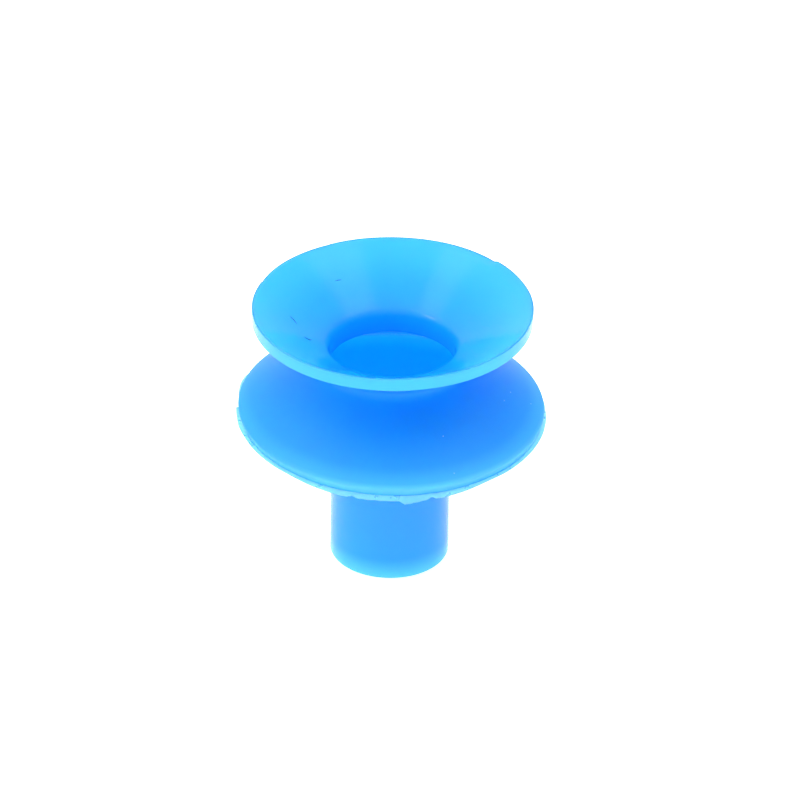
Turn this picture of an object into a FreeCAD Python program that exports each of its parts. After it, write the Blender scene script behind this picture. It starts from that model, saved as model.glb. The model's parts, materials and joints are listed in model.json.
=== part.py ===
"""One-piece silicone bellows suction cup with one and a half folds, standing on its neck.

The cup is a body of revolution about Z. Its neck end lies on Z = 0 and its lip opens upwards.
The wall is one moulding. It is cut here into the zones that stay rigid and the zones that flex,
so that each zone is a node of its own and the joints lie in the flexing ones.
All lengths are in millimetres and all angles in degrees.
"""

import FreeCAD, Part

import math
import os

# Neck: the tube that is pushed over a fitting.
NECK_RADIUS = 8.55
NECK_EDGE_ROUND = 0.5
BORE_RADIUS = 5.0
BORE_LEAD_IN = 0.5
BORE_TOP_ROUND = 0.5

# Lower fold: the wall that widens from the neck to the crest.
LOWER_FOLD_SLOPE = 30.0
LOWER_FOLD_WALL = 1.5
NECK_CORNER_ROUND = 0.3

# Crest: the widest ring, with the mould's parting line round its face.
CREST_BOTTOM_RADIUS = 21.75
CREST_BOTTOM_Z = 22.0
CREST_TOP_RADIUS = 22.25
CREST_TOP_Z = 23.5
CREST_EDGE_ROUND = 0.35
CREST_INNER_ROUND = 0.55

# Flash: the thin fin that the mould leaves on the parting line.
FLASH_RADIUS = 22.5
FLASH_Z = 22.35
FLASH_THICKNESS = 0.15
FLASH_ROOT_DEPTH = 0.5

# Upper fold: the wall that narrows from the crest to the waist.
UPPER_FOLD_SLOPE = 33.9
UPPER_FOLD_WALL = 1.4

# Waist: the round outer groove, with the straight throat inside it.
THROAT_RADIUS = 9.0
THROAT_LOWER_ROUND = 0.12
THROAT_UPPER_ROUND = 1.5
GROOVE_ROUND = 1.4

# Lip: the cone that seals on the work, with a blunt outer rim.
LIP_RADIUS = 20.0
LIP_LAND_INNER_RADIUS = 19.8
LIP_TOP_Z = 40.3
LIP_RIM_BOTTOM_Z = 38.45
LIP_SLOPE = 30.2
RIM_EDGE_ROUND = 0.12

# Heights and the radius at which the wall is cut into rigid and flexing zones.
SLEEVE_TOP_Z = 8.5
FOLD_ROOT_TOP_Z = 15.6
CREST_RING_BOTTOM_Z = 21.5
CREST_RING_TOP_Z = 24.0
WAIST_BOTTOM_Z = 30.2
WAIST_TOP_Z = 33.4
RIM_INNER_RADIUS = 17.0

# Beyond the cup in any direction, for a cut that is open on that side.
FAR = 60.0


def rise(slope):
    """Height gained per millimetre of radius along a wall of that slope."""
    return math.tan(math.radians(slope))


def wall_height(wall, slope):
    """Height of a cut straight up through a wall of that thickness and slope."""
    return wall / math.cos(math.radians(slope))


def meet(line_a, line_b):
    """Where two lines, each (height at radius 0, rise), meet: (radius, height)."""
    radius = (line_a[0] - line_b[0]) / (line_b[1] - line_a[1])
    return radius, line_a[0] + line_a[1] * radius


def line_through(point, slope_rise):
    """The line (height at radius 0, rise) through a point (radius, height)."""
    return point[1] - slope_rise * point[0], slope_rise


def height_on(line, radius):
    """Height of a line at a radius."""
    return line[0] + line[1] * radius


# The four fold walls and the two faces of the lip as straight lines of the section.
LOWER_OUTER = line_through((CREST_BOTTOM_RADIUS, CREST_BOTTOM_Z), rise(LOWER_FOLD_SLOPE))
LOWER_INNER = (LOWER_OUTER[0] + wall_height(LOWER_FOLD_WALL, LOWER_FOLD_SLOPE), LOWER_OUTER[1])
UPPER_OUTER = line_through((CREST_TOP_RADIUS, CREST_TOP_Z), -rise(UPPER_FOLD_SLOPE))
UPPER_INNER = (UPPER_OUTER[0] - wall_height(UPPER_FOLD_WALL, UPPER_FOLD_SLOPE), UPPER_OUTER[1])
LIP_OUTER = line_through((LIP_RADIUS, LIP_RIM_BOTTOM_Z), rise(LIP_SLOPE))
LIP_INNER = line_through((LIP_LAND_INNER_RADIUS, LIP_TOP_Z), rise(LIP_SLOPE))
NECK_CORNER_Z = height_on(LOWER_OUTER, NECK_RADIUS)


def at(radius, height):
    """A point of the section, which lies in the XZ plane."""
    return FreeCAD.Vector(radius, 0, height)


def rounded_corner(before, corner, after, radius):
    """The start, middle and end of the arc that rounds a corner."""
    to_before = (before - corner).normalize()
    to_after = (after - corner).normalize()
    half_angle = to_before.getAngle(to_after) / 2
    reach = radius / math.tan(half_angle)
    bisector = (to_before + to_after).normalize()
    middle = corner + bisector * (radius / math.sin(half_angle) - radius)
    return corner + to_before * reach, middle, corner + to_after * reach


def section_face(corners):
    """A closed face from corners (radius, height, rounding), with an arc at each rounded corner."""
    count = len(corners)
    points = [at(radius, height) for radius, height, _ in corners]
    edges = []
    arcs = []
    for index, (_, _, rounding) in enumerate(corners):
        corner = points[index]
        if rounding > 0:
            arcs.append(rounded_corner(points[index - 1], corner, points[(index + 1) % count], rounding))
        else:
            arcs.append((corner, None, corner))
    for index, (start, middle, end) in enumerate(arcs):
        if middle is not None:
            edges.append(Part.Arc(start, middle, end).toShape())
        following = arcs[(index + 1) % count][0]
        edges.append(Part.LineSegment(end, following).toShape())
    return Part.Face(Part.Wire(edges))


def cup_section():
    """The whole wall of the cup, from the neck end up the outside and down the inside."""
    groove = meet(UPPER_OUTER, LIP_OUTER)
    crest_inner = meet(UPPER_INNER, LOWER_INNER)
    return section_face(
        [
            (BORE_RADIUS + BORE_LEAD_IN, 0, 0),
            (NECK_RADIUS, 0, NECK_EDGE_ROUND),
            (NECK_RADIUS, NECK_CORNER_Z, NECK_CORNER_ROUND),
            (CREST_BOTTOM_RADIUS, CREST_BOTTOM_Z, CREST_EDGE_ROUND),
            (CREST_TOP_RADIUS, CREST_TOP_Z, CREST_EDGE_ROUND),
            (groove[0], groove[1], GROOVE_ROUND),
            (LIP_RADIUS, LIP_RIM_BOTTOM_Z, RIM_EDGE_ROUND),
            (LIP_RADIUS, LIP_TOP_Z, RIM_EDGE_ROUND),
            (LIP_LAND_INNER_RADIUS, LIP_TOP_Z, 0),
            (THROAT_RADIUS, height_on(LIP_INNER, THROAT_RADIUS), THROAT_UPPER_ROUND),
            (THROAT_RADIUS, height_on(UPPER_INNER, THROAT_RADIUS), THROAT_LOWER_ROUND),
            (crest_inner[0], crest_inner[1], CREST_INNER_ROUND),
            (BORE_RADIUS, height_on(LOWER_INNER, BORE_RADIUS), BORE_TOP_ROUND),
            (BORE_RADIUS, BORE_LEAD_IN, 0),
        ]
    )


def window(low_radius, high_radius, low_z, high_z):
    """A rectangle of the section plane."""
    return section_face(
        [
            (low_radius, low_z, 0),
            (high_radius, low_z, 0),
            (high_radius, high_z, 0),
            (low_radius, high_z, 0),
        ]
    )


def ring(face):
    """The face turned a full circle about Z."""
    turned = face.revolve(FreeCAD.Vector(0, 0, 0), FreeCAD.Vector(0, 0, 1), 360)
    return turned.removeSplitter()


def zone(section, low_radius, high_radius, low_z, high_z):
    """The part of the wall inside a window of radius and height, as a ring."""
    cut = section.common(window(low_radius, high_radius, low_z, high_z))
    return ring(cut.Faces[0])


def flash(section):
    """The fin that stands on the crest's face, with its root trimmed to that face."""
    low_z = FLASH_Z - FLASH_THICKNESS / 2
    fin = window(CREST_BOTTOM_RADIUS - FLASH_ROOT_DEPTH, FLASH_RADIUS, low_z, low_z + FLASH_THICKNESS)
    return ring(fin.cut(section).Faces[0])


def nodes(section):
    """Every zone of the cup by node name, from the neck up."""
    return {
        "neck_sleeve": zone(section, 0, FAR, 0, SLEEVE_TOP_Z),
        "neck_flexure": zone(section, 0, FAR, SLEEVE_TOP_Z, NECK_CORNER_Z),
        "fold_root": zone(section, 0, FAR, NECK_CORNER_Z, FOLD_ROOT_TOP_Z),
        "lower_fold": zone(section, 0, FAR, FOLD_ROOT_TOP_Z, CREST_RING_BOTTOM_Z),
        "crest_ring": zone(section, 0, FAR, CREST_RING_BOTTOM_Z, CREST_RING_TOP_Z),
        "parting_flash": flash(section),
        "upper_fold": zone(section, 0, FAR, CREST_RING_TOP_Z, WAIST_BOTTOM_Z),
        "waist_ring": zone(section, 0, FAR, WAIST_BOTTOM_Z, WAIST_TOP_Z),
        "lip_cone": zone(section, 0, RIM_INNER_RADIUS, WAIST_TOP_Z, FAR),
        "lip_rim": zone(section, RIM_INNER_RADIUS, FAR, WAIST_TOP_Z, FAR),
    }


def main():
    os.makedirs("parts", exist_ok=True)
    for name, shape in nodes(cup_section()).items():
        solid = shape.Solids[0]
        solid.exportStep("parts/" + name + ".step")
        box = solid.optimalBoundingBox()
        print(name, "valid", solid.isValid(), "solids", len(shape.Solids), "volume", round(solid.Volume, 1))
        print("   radius", round(box.XMax, 3), "z", round(box.ZMin, 3), round(box.ZMax, 3))


main()
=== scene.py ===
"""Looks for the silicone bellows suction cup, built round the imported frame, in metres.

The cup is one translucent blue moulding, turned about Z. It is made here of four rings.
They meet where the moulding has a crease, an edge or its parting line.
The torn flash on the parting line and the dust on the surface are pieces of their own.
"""

import json
import math
import random

import bmesh
import bpy
from mathutils import Matrix, Quaternion, Vector, noise


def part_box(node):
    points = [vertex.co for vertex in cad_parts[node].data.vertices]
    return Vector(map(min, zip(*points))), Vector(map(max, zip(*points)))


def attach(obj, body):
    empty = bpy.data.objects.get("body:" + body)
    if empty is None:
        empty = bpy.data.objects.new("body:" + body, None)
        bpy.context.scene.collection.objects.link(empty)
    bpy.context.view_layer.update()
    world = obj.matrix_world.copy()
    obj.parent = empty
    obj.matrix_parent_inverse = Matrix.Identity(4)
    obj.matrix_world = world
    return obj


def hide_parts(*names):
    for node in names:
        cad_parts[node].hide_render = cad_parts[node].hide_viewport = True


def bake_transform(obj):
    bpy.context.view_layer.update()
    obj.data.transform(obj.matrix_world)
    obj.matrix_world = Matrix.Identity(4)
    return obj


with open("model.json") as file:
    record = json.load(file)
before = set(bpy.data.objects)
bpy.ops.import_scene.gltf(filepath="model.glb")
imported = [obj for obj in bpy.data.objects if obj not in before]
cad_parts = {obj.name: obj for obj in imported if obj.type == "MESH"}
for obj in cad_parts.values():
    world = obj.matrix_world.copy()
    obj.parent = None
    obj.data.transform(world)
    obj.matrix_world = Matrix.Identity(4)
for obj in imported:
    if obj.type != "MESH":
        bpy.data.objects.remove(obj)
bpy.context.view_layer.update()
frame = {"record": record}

MM = 0.001

# ---------------------------------------------------------------- sizes read from the frame


def top(node):
    """Height of a node's highest point."""
    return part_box(node)[1].z


def bottom(node):
    """Height of a node's lowest point."""
    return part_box(node)[0].z


def reach(node):
    """Radius of a node's outermost point."""
    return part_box(node)[1].x


def mount(name):
    """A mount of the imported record, by name."""
    return next(m for m in frame["record"]["mounts"] if m["name"] == name)


NECK_RADIUS = reach("neck_sleeve")
BORE_RADIUS = mount("neck_bore")["dims"]["r_mm"] * MM
NECK_CORNER_Z = top("neck_flexure")
LIP_RADIUS = reach("lip_rim")
LIP_TOP_Z = top("lip_rim")
FLASH_Z = (bottom("parting_flash") + top("parting_flash")) / 2

# ---------------------------------------------------------------- sizes of the wall's section

NECK_EDGE_ROUND = 0.5 * MM
BORE_LEAD_IN = 0.5 * MM
BORE_TOP_ROUND = 0.5 * MM
NECK_CORNER_ROUND = 0.3 * MM
LOWER_FOLD_WALL = 1.5 * MM
UPPER_FOLD_WALL = 1.4 * MM
CREST_FACE_BOTTOM_Z = 22.0 * MM
CREST_FACE_TOP_Z = 23.5 * MM
CREST_EDGE_ROUND = 0.35 * MM
CREST_INNER_ROUND = 0.55 * MM
THROAT_RADIUS = 9.0 * MM
THROAT_LOWER_ROUND = 0.12 * MM
THROAT_UPPER_ROUND = 1.5 * MM
GROOVE_ROUND = 1.4 * MM
LIP_SLOPE = math.tan(math.radians(30.2))
RIM_EDGE_ROUND = 0.12 * MM

CREST_SEAM_BELOW_FLASH = 0.15 * MM
# The seams between the four rings, each as (height on the outside, height on the inside).
NECK_SEAM = (NECK_CORNER_Z, NECK_CORNER_Z)
CREST_SEAM = (FLASH_Z - CREST_SEAM_BELOW_FLASH, 23.0 * MM)
WAIST_SEAM = (32.6 * MM, 30.6 * MM)
SEAM_GAP = 0.01 * MM
# The section's own edges are shorter than this, so any wider face lies in a seam.
SEAM_FACE_WIDTH = 0.9 * MM

# Points of the section that lie closer together than this are one point.
SAME_POINT = 1e-7
PROFILE_STEP = 0.5 * MM
ARC_STEPS = 8
TURN_STEPS = 288
SHARP_ANGLE = math.radians(40)

# ---------------------------------------------------------------- how the real cup is uneven

# Every radius is smaller than the ideal one by this share.
SHRINKAGE = 0.008
# Rise of the crest for each unit of length to the left, and to the back of its front edge.
CREST_LEFT_RISE = 0.012
CREST_BACK_RISE = 0.026
CREST_PULLED_IN = 0.3 * MM
# Drop of the lip for each unit of length to the left of its right edge.
LIP_TILT = 0.005
# Depth and length of the waves in the lip's edge.
LIP_WAVE = 0.09 * MM
LIP_WAVE_LENGTH = 7 * MM
# Nicks in the lip's edge: (angle in degrees, depth, degrees over which it fades, side it fades to).
LIP_NICKS = [(42, 0.38 * MM, 22, 1), (161, 0.14 * MM, 9, -1), (118, 0.07 * MM, 7, 1)]
# Over those degrees a nick's depth falls by this power of e.
NICK_FADE_RATE = 2
NICK_START_RADIUS = 18.6 * MM

# Painted light: how much paler the wall is painted, from 0 to 1, with the radii or the height over
# which that comes and goes. It stands in for light passing into the wall, palest at thin edges and at
# the neck's foot.
CREST_PAINTED_LIGHT_RADII = (20.9 * MM, 21.8 * MM)
CREST_PAINTED_LIGHT_FADE = 0.7 * MM
FOLD_PAINTED_LIGHT = 0.12
FOLD_PAINTED_LIGHT_RADII = (14 * MM, 21 * MM)
LIP_PAINTED_LIGHT = 0.27
LIP_PAINTED_LIGHT_RADII = (12 * MM, 19.7 * MM)
RIM_PAINTED_LIGHT = 0.07
RIM_PAINTED_LIGHT_RADII = (19.0 * MM, 19.9 * MM)
CHAMBER_PAINTED_LIGHT = 0.42
CHAMBER_PAINTED_LIGHT_REACH = 3.0 * MM
NECK_PAINTED_LIGHT = 0.1
NECK_END_PAINTED_LIGHT = 0.85
NECK_END_PAINTED_LIGHT_HEIGHT = 3.5 * MM

# ---------------------------------------------------------------- the flash on the parting line

FLASH_ROOT_RADIUS = 21.6 * MM
FLASH_FACE_RADIUS = 21.87 * MM
FLASH_LIMIT_RADIUS = reach("parting_flash") + CREST_PULLED_IN
FLASH_PROUD = 0.60 * MM
FLASH_PROUD_VARIES = 0.10 * MM
FLASH_WAVE_DEGREES = 9
FLASH_ROOT_HALF = 0.06 * MM
FLASH_EDGE_HALF = 0.02 * MM
FLASH_STATIONS = 6
FLASH_STEPS = 1408
# The fin is torn away between its end and its start, which are angles in degrees about Z.
FLASH_START = 180
FLASH_END = 532
FRONT_ANGLE = 270

# At the front the fin is longer and hangs down as a ragged fringe. Angles are from the front.
FRINGE_START = (-44, -14)
FRINGE_END = (18, 40)
FRINGE_PROUD = 0.66 * MM
FRINGE_DROP = 0.55 * MM
# The ragged edge's teeth: their height, their length in degrees, and how far they stick out, as a
# share of their height.
FRINGE_RAGGED = 0.05 * MM
FRINGE_TOOTH_DEGREES = 2.2
FRINGE_TOOTH_OUTWARDS = 0.3
# A row of the noise that is clear of the one the fin's own wave is read from.
FRINGE_NOISE_ROW = 3
# The fin droops more and more from its root to its edge, with this power.
FRINGE_DROOP_POWER = 1.3
# The longest torn flap, as (start, tip and end in degrees from the front, extra drop).
FLAP = (3.4, 5.6, 14.0, 0.55 * MM)
# Scraps that stand up from the rest of the edge, each as (degrees from the front, half width in
# degrees, lift, extra length).
SCRAPS = [
    (-13.7, 2.6, 0.34 * MM, 0.10 * MM),
    (15.4, 2.0, 0.38 * MM, 0.08 * MM),
    (-109, 13, 0.30 * MM, 0.35 * MM),
]

# ---------------------------------------------------------------- the section


def line_through(start, end):
    """The line (height at radius 0, rise) through two points (radius, height)."""
    rise = (end[1] - start[1]) / (end[0] - start[0])
    return start[1] - rise * start[0], rise


def height_on(line, radius):
    """Height of a line at a radius."""
    return line[0] + line[1] * radius


def radius_on(line, height):
    """Radius of a line at a height."""
    return (height - line[0]) / line[1]


def meet(line_a, line_b):
    """Where two lines cross, as (radius, height)."""
    radius = (line_a[0] - line_b[0]) / (line_b[1] - line_a[1])
    return radius, height_on(line_a, radius)


def raised(line, wall):
    """The line moved straight up, far enough to be a wall's thickness away square to it."""
    return line[0] + wall * math.hypot(1, line[1]), line[1]


LOWER_OUTER = line_through(
    (reach("fold_root"), top("fold_root")), (reach("lower_fold"), top("lower_fold"))
)
LOWER_INNER = raised(LOWER_OUTER, LOWER_FOLD_WALL)
UPPER_OUTER = line_through(
    (reach("upper_fold"), bottom("upper_fold")), (reach("waist_ring"), bottom("waist_ring"))
)
UPPER_INNER = raised(UPPER_OUTER, -UPPER_FOLD_WALL)
LIP_OUTER = (bottom("lip_rim") - LIP_SLOPE * reach("lip_cone"), LIP_SLOPE)
LIP_INNER = (top("lip_cone") - LIP_SLOPE * reach("lip_cone"), LIP_SLOPE)
RIM_BOTTOM_Z = height_on(LIP_OUTER, LIP_RADIUS)
LAND_RADIUS = radius_on(LIP_INNER, LIP_TOP_Z)
CHAMBER_CORNER = meet(LOWER_INNER, UPPER_INNER)


def arc_points(before, corner, after, radius):
    """Points along the arc that rounds a corner."""
    to_before = (before - corner).normalized()
    to_after = (after - corner).normalized()
    half = to_before.angle(to_after) / 2
    setback = radius / math.tan(half)
    centre = corner + (to_before + to_after).normalized() * (radius / math.sin(half))
    start = corner + to_before * setback - centre
    end = corner + to_after * setback - centre
    swing = math.atan2(start.x * end.y - start.y * end.x, start.dot(end))
    turns = [Matrix.Rotation(swing * step / ARC_STEPS, 2) for step in range(ARC_STEPS + 1)]
    return [centre + turn @ start for turn in turns]


def rounded_path(corners):
    """A line of closely spaced points through corners (radius, height, rounding)."""
    knots = [Vector((radius, height)) for radius, height, _ in corners]
    turns = [knots[0]]
    for index in range(1, len(knots) - 1):
        rounding = corners[index][2]
        if rounding:
            turns += arc_points(knots[index - 1], knots[index], knots[index + 1], rounding)
        else:
            turns.append(knots[index])
    turns.append(knots[-1])
    path = [turns[0]]
    for end in turns[1:]:
        start = path[-1]
        parts = max(1, math.ceil((end - start).length / PROFILE_STEP))
        path += [start.lerp(end, part / parts) for part in range(1, parts + 1)]
    return path


OUTSIDE = rounded_path(
    [
        (BORE_RADIUS + BORE_LEAD_IN, 0, 0),
        (NECK_RADIUS, 0, NECK_EDGE_ROUND),
        (NECK_RADIUS, height_on(LOWER_OUTER, NECK_RADIUS), NECK_CORNER_ROUND),
        (radius_on(LOWER_OUTER, CREST_FACE_BOTTOM_Z), CREST_FACE_BOTTOM_Z, CREST_EDGE_ROUND),
        (radius_on(UPPER_OUTER, CREST_FACE_TOP_Z), CREST_FACE_TOP_Z, CREST_EDGE_ROUND),
        (*meet(UPPER_OUTER, LIP_OUTER), GROOVE_ROUND),
        (LIP_RADIUS, RIM_BOTTOM_Z, RIM_EDGE_ROUND),
        (LIP_RADIUS, LIP_TOP_Z, RIM_EDGE_ROUND),
        (LAND_RADIUS, LIP_TOP_Z, 0),
    ]
)
INSIDE = rounded_path(
    [
        (BORE_RADIUS + BORE_LEAD_IN, 0, 0),
        (BORE_RADIUS, BORE_LEAD_IN, 0),
        (BORE_RADIUS, height_on(LOWER_INNER, BORE_RADIUS), BORE_TOP_ROUND),
        (*CHAMBER_CORNER, CREST_INNER_ROUND),
        (THROAT_RADIUS, height_on(UPPER_INNER, THROAT_RADIUS), THROAT_LOWER_ROUND),
        (THROAT_RADIUS, height_on(LIP_INNER, THROAT_RADIUS), THROAT_UPPER_ROUND),
        (LAND_RADIUS, LIP_TOP_Z, 0),
    ]
)


def stretch(path, low, high):
    """The points of a path between two heights, with one at each height that it crosses, by height."""
    kept = []
    for start, end in zip(path, path[1:]):
        if low <= start.y <= high:
            kept.append(start)
        for height in (low, high):
            if start.y < height < end.y:
                kept.append(start.lerp(end, (height - start.y) / (end.y - start.y)))
    if low <= path[-1].y <= high:
        kept.append(path[-1])
    return sorted(kept, key=lambda point: point.y)


def ring_section(low_seam, high_seam):
    """The closed outline of one ring: up the outside and down the inside, between two seams."""
    gap = SEAM_GAP / 2
    outside = stretch(OUTSIDE, low_seam[0] + gap, high_seam[0] - gap)
    inside = stretch(INSIDE, low_seam[1] + gap, high_seam[1] - gap)
    outline = outside + inside[::-1]
    return [
        point
        for index, point in enumerate(outline)
        if (point - outline[index - 1]).length > SAME_POINT
    ]


# ---------------------------------------------------------------- unevenness, from the ideal shape


def smoothstep(low, high, value):
    """0 below low, 1 above high, and smooth in between."""
    share = min(1.0, max(0.0, (value - low) / (high - low)))
    return share * share * (3 - 2 * share)


def nick_depth(angle):
    """How far the lip's edge is cut in at an angle in degrees."""
    depth = 0.0
    for place, deepest, fade, side in LIP_NICKS:
        along = ((angle - place) * side) % 360
        depth += deepest * math.exp(-along / fade * NICK_FADE_RATE)
    return depth


def settled(point):
    """Where a point of the ideal cup lies on the real one."""
    x, y, z = point
    crest_share = smoothstep(NECK_CORNER_Z, CREST_FACE_BOTTOM_Z, z)
    crest_share *= 1 - smoothstep(CREST_FACE_TOP_Z, WAIST_SEAM[0], z)
    lip_share = smoothstep(WAIST_SEAM[0], RIM_BOTTOM_Z, z)
    radius = math.hypot(x, y)
    angle = math.degrees(math.atan2(y, x)) % 360
    edge_share = smoothstep(NICK_START_RADIUS, LIP_RADIUS, radius) * lip_share
    wave = LIP_WAVE * (1 + noise.noise(Vector((x, y, 0)) / LIP_WAVE_LENGTH)) / 2
    pulled_in = edge_share * (nick_depth(angle) + wave)
    pulled_in += CREST_PULLED_IN * crest_share
    scale = (1 - SHRINKAGE) * (radius - pulled_in) / radius
    crest_rise = crest_share * (CREST_BACK_RISE * (y + FLASH_LIMIT_RADIUS) - CREST_LEFT_RISE * x)
    lip_drop = lip_share * (LIP_TILT * (LIP_RADIUS - x) + wave)
    return Vector((x * scale, y * scale, z + crest_rise - lip_drop))


# ---------------------------------------------------------------- meshes


def painted_light(point):
    """Painted light: how much paler the silicone is painted at a point, from 0 to 1 on the crest's
    thin edge.
    """
    radius = math.hypot(point.x, point.y)
    if point.z > WAIST_SEAM[0]:
        wide = LIP_PAINTED_LIGHT * smoothstep(*LIP_PAINTED_LIGHT_RADII, radius)
        return wide + RIM_PAINTED_LIGHT * smoothstep(*RIM_PAINTED_LIGHT_RADII, radius)
    if radius < NECK_RADIUS + NECK_CORNER_ROUND and point.z < NECK_CORNER_Z:
        return NECK_PAINTED_LIGHT + NECK_END_PAINTED_LIGHT * (1 - smoothstep(0, NECK_END_PAINTED_LIGHT_HEIGHT, point.z))
    wide = FOLD_PAINTED_LIGHT * smoothstep(*FOLD_PAINTED_LIGHT_RADII, radius)
    away = math.hypot(radius - CHAMBER_CORNER[0], point.z - CHAMBER_CORNER[1])
    wide += CHAMBER_PAINTED_LIGHT * (1 - smoothstep(0, CHAMBER_PAINTED_LIGHT_REACH, away))
    crest = smoothstep(*CREST_PAINTED_LIGHT_RADII, radius)
    crest *= smoothstep(CREST_FACE_BOTTOM_Z - CREST_PAINTED_LIGHT_FADE, CREST_FACE_BOTTOM_Z, point.z)
    crest *= 1 - smoothstep(CREST_FACE_TOP_Z, CREST_FACE_TOP_Z + CREST_PAINTED_LIGHT_FADE, point.z)
    return wide + (1 - wide) * crest


def finished(name, mesh_data, material):
    """A smooth shaded object from a bmesh, with its normals outwards."""
    bmesh.ops.recalc_face_normals(mesh_data, faces=mesh_data.faces)
    mesh = bpy.data.meshes.new(name)
    mesh_data.to_mesh(mesh)
    mesh_data.free()
    mesh.polygons.foreach_set("use_smooth", [True] * len(mesh.polygons))
    mesh.set_sharp_from_angle(angle=SHARP_ANGLE)
    # Painted light: each point's share of the paler colour, painted where light would pass into the
    # wall.
    shares = mesh.attributes.new("painted_light", "FLOAT", "POINT")
    shares.data.foreach_set("value", [painted_light(vertex.co) for vertex in mesh.vertices])
    mesh.materials.append(material)
    piece = bpy.data.objects.new(name, mesh)
    bpy.context.scene.collection.objects.link(piece)
    return piece


def revolved(name, outline, material):
    """A ring: an outline (radius, height) turned about Z, then made uneven as the real one is."""
    work = bmesh.new()
    turns = []
    for step in range(TURN_STEPS):
        angle = 2 * math.pi * step / TURN_STEPS
        across = Vector((math.cos(angle), math.sin(angle)))
        turns.append(
            [work.verts.new(settled((across.x * r, across.y * r, z))) for r, z in outline]
        )
    for turn, following in zip(turns, turns[1:] + turns[:1]):
        for index in range(len(outline)):
            face = work.faces.new(
                (turn[index - 1], following[index - 1], following[index], turn[index])
            )
            width = (outline[index] - outline[index - 1]).length
            face.material_index = int(width > SEAM_FACE_WIDTH)
    piece = finished(name, work, material)
    piece.data.materials.append(SEAM_LIGHT)
    return piece


def flash_section(angle):
    """One cut across the fin: its top from root to edge, then its underside back."""
    front = (angle - FRONT_ANGLE + 180) % 360 - 180
    fringe = smoothstep(*FRINGE_START, front) * (1 - smoothstep(*FRINGE_END, front))
    proud = FLASH_PROUD + FLASH_PROUD_VARIES * noise.noise(Vector((front / FLASH_WAVE_DEGREES, 0, 0)))
    ragged = noise.noise(Vector((front / FRINGE_TOOTH_DEGREES, FRINGE_NOISE_ROW, 0)))
    proud += fringe * (FRINGE_PROUD - proud + FRINGE_TOOTH_OUTWARDS * FRINGE_RAGGED * ragged)
    drop = fringe * (FRINGE_DROP + FRINGE_RAGGED * ragged)
    start, tip, end, extra = FLAP
    drop += extra * max(0.0, min((front - start) / (tip - start), (end - front) / (end - tip)))
    for place, half_width, lift, longer in SCRAPS:
        share = smoothstep(0, 1, 1 - abs(front - place) / half_width)
        drop -= share * lift
        proud += share * longer
    edge_radius = min(FLASH_FACE_RADIUS + proud, FLASH_LIMIT_RADIUS)
    upper = []
    under = []
    for station in range(FLASH_STATIONS + 1):
        share = station / FLASH_STATIONS
        radius = FLASH_ROOT_RADIUS + (edge_radius - FLASH_ROOT_RADIUS) * share
        height = FLASH_Z - drop * share ** FRINGE_DROOP_POWER
        half = FLASH_ROOT_HALF + (FLASH_EDGE_HALF - FLASH_ROOT_HALF) * share
        upper.append((radius, height + half))
        under.append((radius, height - half))
    across = Vector((math.cos(math.radians(angle)), math.sin(math.radians(angle))))
    return [settled((across.x * r, across.y * r, z)) for r, z in upper + under[::-1]]


def torn_fin(name, material):
    """The flash: a thin strip round the crest, closed at its two torn ends."""
    work = bmesh.new()
    sections = []
    for step in range(FLASH_STEPS + 1):
        angle = FLASH_START + (FLASH_END - FLASH_START) * step / FLASH_STEPS
        sections.append([work.verts.new(point) for point in flash_section(angle)])
    for section, following in zip(sections, sections[1:]):
        for index in range(len(section)):
            work.faces.new(
                (section[index - 1], following[index - 1], following[index], section[index])
            )
    work.faces.new(sections[0])
    work.faces.new(sections[-1][::-1])
    return finished(name, work, material)


# ---------------------------------------------------------------- materials

# Colours as (red, green, blue, opacity).
DEEP_BLUE = (0.006, 0.275, 0.82, 1)
BRIGHT_BLUE = (0.010, 0.315, 0.84, 1)
# Painted light: the paler blue painted where light would pass into the wall.
PAINTED_LIGHT_BLUE = (0.10, 0.56, 0.97, 1)
FILM_BLUE = (0.13, 0.50, 0.93, 1)
FILM_PALE = (0.28, 0.68, 0.97, 1)
LINT_DARKER = (0.0, 0.09, 0.15, 1)
LINT_PALER = (0.0, 0.14, 0.2, 1)
DUST_DARKER = (0.2, 0.6, 0.95, 1)
DUST_PALER = (0.4, 0.78, 1.0, 1)
TABLE_WHITE = (0.9, 0.9, 0.9, 1)
WHITE = (1, 1, 1, 1)

SILICONE_IOR = 1.43
# How far red, green and blue light travel inside the wall, and inside the thin film, in mm.
WALL_SCATTER = (1.5, 8.0, 12.0)
FILM_SCATTER = (1.0, 1.0, 1.0)
SEAM_GLOW = 0.3

# Noise as (cells to the metre, finer layers added).
WALL_CLOUDS = (90, 3)
WALL_GRAIN = (2200, 4)
FILM_CLOUDS = (700, 3)
# Noise in cells across the whole piece.
SEAM_MOTTLES = 90
DUST_MOTTLES = 3000


def shader_of(material):
    """The shader that a material's nodes feed."""
    return material.node_tree.nodes["Principled BSDF"]


def feed(material, node, inputs):
    """Gives each named input of a node a fixed value or another node's output."""
    for name, source in inputs.items():
        if isinstance(source, bpy.types.NodeSocket):
            material.node_tree.links.new(source, node.inputs[name])
        else:
            node.inputs[name].default_value = source


def new_material(name, settings):
    """A material, with the shader settings that are the same all over its surface."""
    material = bpy.data.materials.new(name)
    material.use_nodes = True
    feed(material, shader_of(material), settings)
    return material


def clouds(material, scale, detail):
    """Noise that is equally fine on every piece, as a share from 0 to 1."""
    place = material.node_tree.nodes.new("ShaderNodeTexCoord")
    cloud = material.node_tree.nodes.new("ShaderNodeTexNoise")
    feed(material, cloud, {"Vector": place.outputs["Object"], "Scale": scale, "Detail": detail})
    return cloud.outputs["Fac"]


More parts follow.
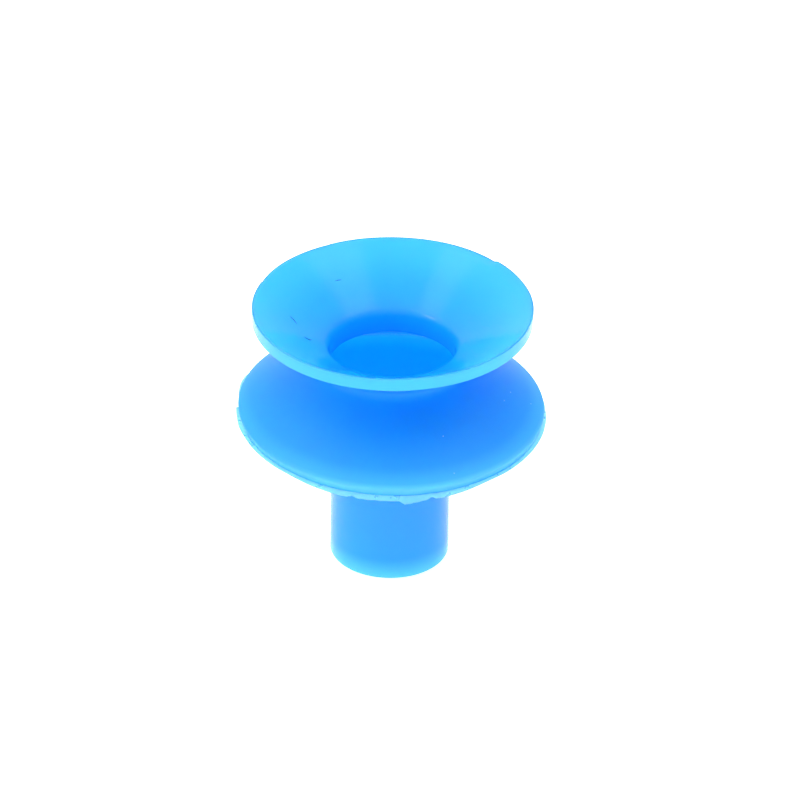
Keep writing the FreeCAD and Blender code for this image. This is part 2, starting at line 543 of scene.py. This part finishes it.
def mottles(material, scale):
    """Noise with equally many cells across a small piece and a large one, as a share from 0 to 1."""
    cloud = material.node_tree.nodes.new("ShaderNodeTexNoise")
    feed(material, cloud, {"Scale": scale})
    return cloud.outputs["Fac"]


def mixed(material, share, first, second):
    """A colour that goes from the first to the second as the share goes from 0 to 1."""
    mix = material.node_tree.nodes.new("ShaderNodeMix")
    mix.data_type = "RGBA"
    feed(material, mix, {"Factor": share, "A": first, "B": second})
    return mix.outputs["Result"]


def between(material, share, low, high):
    """A number that goes from low to high as the share goes from 0 to 1."""
    span = material.node_tree.nodes.new("ShaderNodeMapRange")
    feed(material, span, {"Value": share, "To Min": low, "To Max": high})
    return span.outputs["Result"]


def relief(material, share, strength, depth):
    """A surface that rises by a depth as the share goes from 0 to 1."""
    bump = material.node_tree.nodes.new("ShaderNodeBump")
    feed(material, bump, {"Height": share, "Strength": strength, "Distance": depth})
    return bump.outputs["Normal"]


def translucent(name, scatter, gloss, transmission):
    """A material that light enters and leaves again, with the scatter in mm."""
    material = new_material(
        name,
        {
            "Subsurface Weight": 1.0,
            "Subsurface Radius": scatter,
            "Subsurface Scale": 1 * MM,
            "IOR": SILICONE_IOR,
            "Specular IOR Level": gloss,
            "Transmission Weight": transmission,
        },
    )
    shader_of(material).subsurface_method = "BURLEY"
    return material


def silicone(name, gloss, smoothest, roughest):
    """Translucent blue silicone with the mould's fine grain, painted paler where light would pass into
    it.
    """
    material = translucent(name, WALL_SCATTER, gloss, transmission=0.0)
    cloud = clouds(material, *WALL_CLOUDS)
    # Painted light: the point attribute mixes in the paler blue painted where light would pass into
    # the wall.
    edge = material.node_tree.nodes.new("ShaderNodeAttribute")
    edge.attribute_name = "painted_light"
    tint = mixed(material, cloud, DEEP_BLUE, BRIGHT_BLUE)
    looks = {
        "Base Color": mixed(material, edge.outputs["Fac"], tint, PAINTED_LIGHT_BLUE),
        "Roughness": between(material, cloud, smoothest, roughest),
        "Normal": relief(material, clouds(material, *WALL_GRAIN), strength=0.25, depth=0.03 * MM),
    }
    feed(material, shader_of(material), looks)
    return material


def thin_silicone():
    """The same silicone where it is a film: pale, and half seen through."""
    material = translucent("thin_silicone", FILM_SCATTER, gloss=0.3, transmission=0.45)
    cloud = clouds(material, *FILM_CLOUDS)
    looks = {
        "Base Color": mixed(material, cloud, FILM_BLUE, FILM_PALE),
        "Roughness": between(material, cloud, low=0.2, high=0.4),
        "Normal": relief(material, cloud, strength=0.4, depth=0.05 * MM),
    }
    feed(material, shader_of(material), looks)
    return material


def seam_light():
    """The hidden faces in a seam. They glow as the wall does inside, for the real cup has no seams."""
    material = new_material("seam_light", {"Emission Color": WHITE, "Emission Strength": SEAM_GLOW})
    tint = mixed(material, mottles(material, SEAM_MOTTLES), DEEP_BLUE, BRIGHT_BLUE)
    feed(material, shader_of(material), {"Base Color": tint})
    return material


def dust(name, darker, paler):
    """Dust or lint: matt, and mottled between two colours."""
    material = new_material(name, {})
    mottle = mottles(material, DUST_MOTTLES)
    looks = {
        "Base Color": mixed(material, mottle, darker, paler),
        "Roughness": between(material, mottle, low=0.7, high=0.9),
        "Normal": relief(material, mottle, strength=1.0, depth=0.01 * MM),
    }
    feed(material, shader_of(material), looks)
    return material


SATIN = silicone("satin_silicone", gloss=0.4, smoothest=0.10, roughest=0.15)
MATT = silicone("matt_silicone", gloss=0.25, smoothest=0.42, roughest=0.52)
SEAM_LIGHT = seam_light()
THIN_SILICONE = thin_silicone()

# ---------------------------------------------------------------- the four rings

# Seams far below and far above the cup, for a ring that ends where the cup does.
BELOW = (-1.0, -1.0)
ABOVE = (1.0, 1.0)


neck = revolved("neck", ring_section(BELOW, NECK_SEAM), SATIN)
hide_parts("neck_sleeve", "neck_flexure")
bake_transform(neck)

lower_bellows = revolved("lower_bellows", ring_section(NECK_SEAM, CREST_SEAM), MATT)
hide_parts("fold_root", "lower_fold")
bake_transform(lower_bellows)

upper_bellows = revolved("upper_bellows", ring_section(CREST_SEAM, WAIST_SEAM), MATT)
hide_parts("crest_ring", "upper_fold", "waist_ring")
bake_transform(upper_bellows)

lip = revolved("lip", ring_section(WAIST_SEAM, ABOVE), SATIN)
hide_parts("lip_cone", "lip_rim")
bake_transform(lip)

flash = torn_fin("flash", THIN_SILICONE)
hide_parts("parting_flash")
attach(flash, "crest")

# ---------------------------------------------------------------- dust

CHANCE = random.Random(5)

# A strand is a tube of this many sides. Its thickness is uneven between these two shares of its
# nominal one, and less at its ends.
STRAND_SIDES = 6
STRAND_UNEVEN = (0.8, 1.2)
STRAND_END_SHARE = 0.4
# Fibres on the inside of the lip, each as points (radius in mm, angle in degrees about Z).
FIBRES = [
    [(14.7, 172.1), (14.4, 173.2), (14.1, 173.6), (13.6, 176.4)],
    [(12.6, 188.1), (12.2, 188.8), (11.8, 188.7), (11.5, 187.2)],
    [(14.72, 124.6), (14.68, 122.7), (14.62, 120.8)],
]
FIBRE_HALF = 0.05 * MM
FIBRE_LIFT = 0.6 * FIBRE_HALF
# Specks on the upper fold, as (radius in mm, angle in degrees about Z).
SPECKS = [(17.2, 355.8), (16.7, 346.1), (20.2, 356.9), (21.0, 295.7), (16.2, 297.4)]
SPECK_HALF = 0.08 * MM


def lying_on(line, radius, angle, lift):
    """A point that lies over a conical wall, at a radius and an angle in degrees."""
    turn = math.radians(angle)
    length = math.hypot(1, line[1])
    outwards = radius - lift * line[1] / length
    height = height_on(line, radius) + lift / length
    return settled((outwards * math.cos(turn), outwards * math.sin(turn), height))


def add_strand(work, path, half):
    """A closed tube along a path, uneven in thickness and drawn in at its ends."""
    loops = []
    for index, point in enumerate(path):
        ahead = path[min(index + 1, len(path) - 1)]
        behind = path[max(index - 1, 0)]
        tilt = (ahead - behind).to_track_quat("Z", "Y")
        at_end = index in (0, len(path) - 1)
        thick = half * (STRAND_END_SHARE if at_end else CHANCE.uniform(*STRAND_UNEVEN))
        loop = []
        for side in range(STRAND_SIDES):
            turn = 2 * math.pi * side / STRAND_SIDES
            outwards = tilt @ Vector((math.cos(turn), math.sin(turn), 0))
            loop.append(work.verts.new(point + outwards * thick))
        loops.append(loop)
    for loop, following in zip(loops, loops[1:]):
        for side in range(STRAND_SIDES):
            work.faces.new((loop[side - 1], loop[side], following[side], following[side - 1]))
    work.faces.new(loops[0][::-1])
    work.faces.new(loops[-1])


def lint_fibres():
    """The fibres, lying on the inside of the lip."""
    work = bmesh.new()
    for fibre in FIBRES:
        path = [lying_on(LIP_INNER, radius * MM, angle, FIBRE_LIFT) for radius, angle in fibre]
        add_strand(work, path, FIBRE_HALF)
    return finished("lint", work, dust("lint_blue", LINT_DARKER, LINT_PALER))


def dust_specks():
    """The specks, half sunk in the outside of the upper fold."""
    work = bmesh.new()
    for radius, angle in SPECKS:
        place = lying_on(UPPER_OUTER, radius * MM, angle, 0)
        along = Vector([CHANCE.uniform(-1, 1) for _ in range(3)]).normalized() * SPECK_HALF
        add_strand(work, [place - along, place, place + along], SPECK_HALF)
    return finished("specks", work, dust("dust_white", DUST_DARKER, DUST_PALER))


lint = lint_fibres()
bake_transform(lint)

specks = dust_specks()
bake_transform(specks)

# ---------------------------------------------------------------- floor, light and camera

FLOOR_HALF = 2.0
FLOOR_LEVEL = -0.02 * MM


def stage_floor():
    """A plain white table that glows a little, just under the cup so that no two faces coincide."""
    corners = [(-1, -1), (1, -1), (1, 1), (-1, 1)]
    mesh = bpy.data.meshes.new("floor")
    mesh.from_pydata(
        [(x * FLOOR_HALF, y * FLOOR_HALF, FLOOR_LEVEL) for x, y in corners], [], [(0, 1, 2, 3)]
    )
    floor = bpy.data.objects.new("floor", mesh)
    bpy.context.scene.collection.objects.link(floor)
    settings = {
        "Base Color": TABLE_WHITE,
        "Roughness": 0.8,
        "Emission Color": WHITE,
        "Emission Strength": 0.7,
    }
    mesh.materials.append(new_material("floor_white", settings))


# The white room is brightest overhead and at the back left, and dim at the front and the right.
BRIGHT_SIDE = Vector((-0.3, 0.15, 0.9)).normalized()
ROOM_DARKEST = 0.4
ROOM_BRIGHTEST = 1.25
# Square lamps, each as (name, place, side in metres, power in watts).
SOFTBOXES = [
    ("ceiling_left", (-0.39, 0.0, 0.6), 0.42, 0.60),
    ("ceiling_right", (0.32, 0.0, 0.6), 0.42, 0.60),
    ("left", (-0.5, -0.15, 0.38), 0.2, 0.5),
]


def stage_light():
    """A soft white room, two panels overhead with a gap between them, and a softbox at the left."""
    world = bpy.data.worlds.new("surround")
    bpy.context.scene.world = world
    world.use_nodes = True
    nodes = world.node_tree.nodes
    links = world.node_tree.links
    nodes["Background"].inputs["Color"].default_value = WHITE
    direction = nodes.new("ShaderNodeTexCoord")
    towards = nodes.new("ShaderNodeVectorMath")
    towards.operation = "DOT_PRODUCT"
    towards.inputs[1].default_value = BRIGHT_SIDE
    links.new(direction.outputs["Generated"], towards.inputs[0])
    level = nodes.new("ShaderNodeMapRange")
    level.inputs["To Min"].default_value = ROOM_DARKEST
    level.inputs["To Max"].default_value = ROOM_BRIGHTEST
    links.new(towards.outputs["Value"], level.inputs["Value"])
    links.new(level.outputs["Result"], nodes["Background"].inputs["Strength"])
    aim = Vector((0, 0, LIP_TOP_Z / 2))
    for name, place, size, power in SOFTBOXES:
        light = bpy.data.lights.new(name, "AREA")
        light.size = size
        light.energy = power
        softbox = bpy.data.objects.new(name, light)
        softbox.location = place
        softbox.rotation_euler = (aim - Vector(place)).to_track_quat("-Z", "Y").to_euler()
        bpy.context.scene.collection.objects.link(softbox)


# Angles in radians, the lens in mm and all else in metres.
CAMERA_ELEVATION = 0.547
CAMERA_DISTANCE = 0.80688
CAMERA_AIM_Z = 24.83 * MM
CAMERA_SIDE_STEP = 1.22 * MM
CAMERA_ROLL = 0.016
CAMERA_LENS = 256.3
CAMERA_NEAREST = 0.01


def stage_camera():
    """A long lens from the front, looking down into the cup, rolled a little."""
    camera = bpy.data.objects.new("camera", bpy.data.cameras.new("camera"))
    bpy.context.scene.collection.objects.link(camera)
    bpy.context.scene.camera = camera
    camera.data.lens = CAMERA_LENS
    camera.data.clip_start = CAMERA_NEAREST
    forward = Vector((0, math.cos(CAMERA_ELEVATION), -math.sin(CAMERA_ELEVATION)))
    camera.location = Vector((CAMERA_SIDE_STEP, 0, CAMERA_AIM_Z)) - forward * CAMERA_DISTANCE
    camera.rotation_mode = "QUATERNION"
    roll = Quaternion((0, 0, 1), CAMERA_ROLL)
    camera.rotation_quaternion = forward.to_track_quat("-Z", "Y") @ roll


stage_floor()
stage_light()
stage_camera()
bpy.context.scene.view_settings.view_transform = "Standard"
